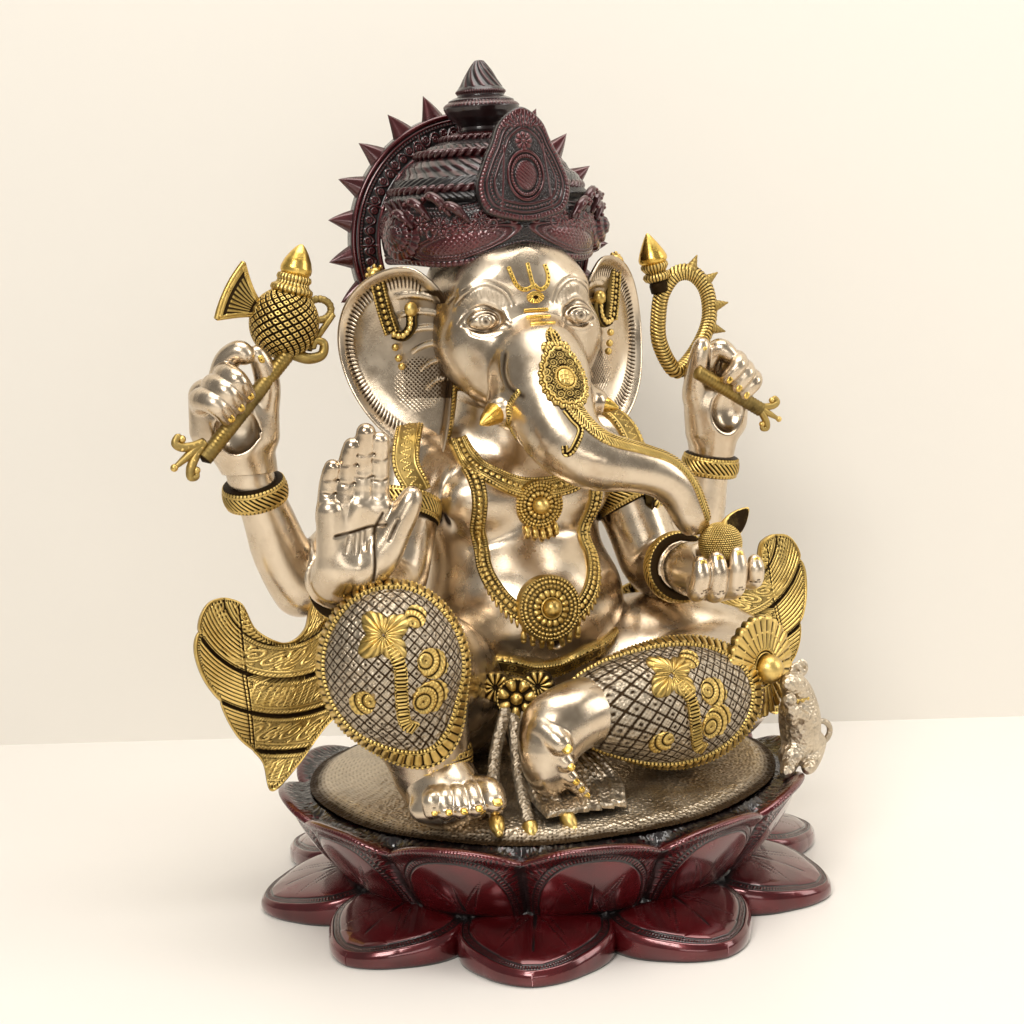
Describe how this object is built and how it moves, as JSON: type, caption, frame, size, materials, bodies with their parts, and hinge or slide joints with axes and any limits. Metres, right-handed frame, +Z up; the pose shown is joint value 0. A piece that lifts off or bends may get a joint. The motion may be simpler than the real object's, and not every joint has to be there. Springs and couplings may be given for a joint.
{
  "type": "ganesha idol",
  "caption": "Seated four-armed elephant-headed idol with crown and halo, ornaments and sashes, on a double lotus base.",
  "frame": {"origin": "centre of the base's underside", "axes": "+Z up the figure, -Y the way the figure faces, +X to the figure's own left"},
  "size_m": [0.5082, 0.4206, 0.608],
  "materials": {
    "silvered_brass": "antique silvered brass, satin, dark in the recesses",
    "yellow_brass": "bright yellow brass relief with brown antiquing",
    "cherry_lacquer": "glossy cherry-red lacquer over brass, near black in the recesses",
    "fixing_steel": "plain"
  },
  "bodies": {
    "root": {"base_drum": "cherry_lacquer", "lower_petals": "cherry_lacquer", "upper_petals": "cherry_lacquer", "seat_mound": "silvered_brass", "tie_stud": "fixing_steel", "tie_nut": "fixing_steel", "torso": "silvered_brass", "head": "silvered_brass", "trunk": "silvered_brass", "tusk_right": "yellow_brass", "tusk_left": "yellow_brass", "ear_right": "silvered_brass", "ear_left": "silvered_brass", "ear_jewel_right": "yellow_brass", "ear_jewel_left": "yellow_brass", "forehead_mark": "yellow_brass", "trunk_plate": "yellow_brass", "crown_band": "cherry_lacquer", "crown_dome": "cherry_lacquer", "crown_crest": "cherry_lacquer", "crown_finial": "cherry_lacquer", "halo_ring": "cherry_lacquer", "rear_arm_right": "silvered_brass", "rear_forearm_right": "silvered_brass", "rear_arm_left": "silvered_brass", "rear_forearm_left": "silvered_brass", "front_arm_right": "silvered_brass", "front_forearm_right": "silvered_brass", "front_arm_left": "silvered_brass", "front_forearm_left": "silvered_brass", "rear_bangle_right": "yellow_brass", "rear_bangle_left": "yellow_brass", "front_bangle_right": "yellow_brass", "front_bangle_left": "yellow_brass", "armlet_right": "yellow_brass", "armlet_left": "yellow_brass", "mace_shaft": "yellow_brass", "mace_head": "yellow_brass", "mace_blade": "yellow_brass", "noose_loop": "yellow_brass", "noose_shaft": "yellow_brass", "modak": "yellow_brass", "necklace_upper": "yellow_brass", "necklace_long": "yellow_brass", "belt": "yellow_brass", "dhoti_pleats": "silvered_brass", "thigh_right": "silvered_brass", "shin_right": "silvered_brass", "foot_right": "silvered_brass", "thigh_left": "silvered_brass", "shin_left": "silvered_brass", "foot_left": "silvered_brass", "knee_cover_right": "yellow_brass", "knee_cover_left": "yellow_brass", "anklet_right": "yellow_brass", "anklet_left": "yellow_brass", "sash_right": "yellow_brass", "sash_left": "yellow_brass", "sunburst": "yellow_brass", "mouse": "silvered_brass"}
  },
  "joints": []
}
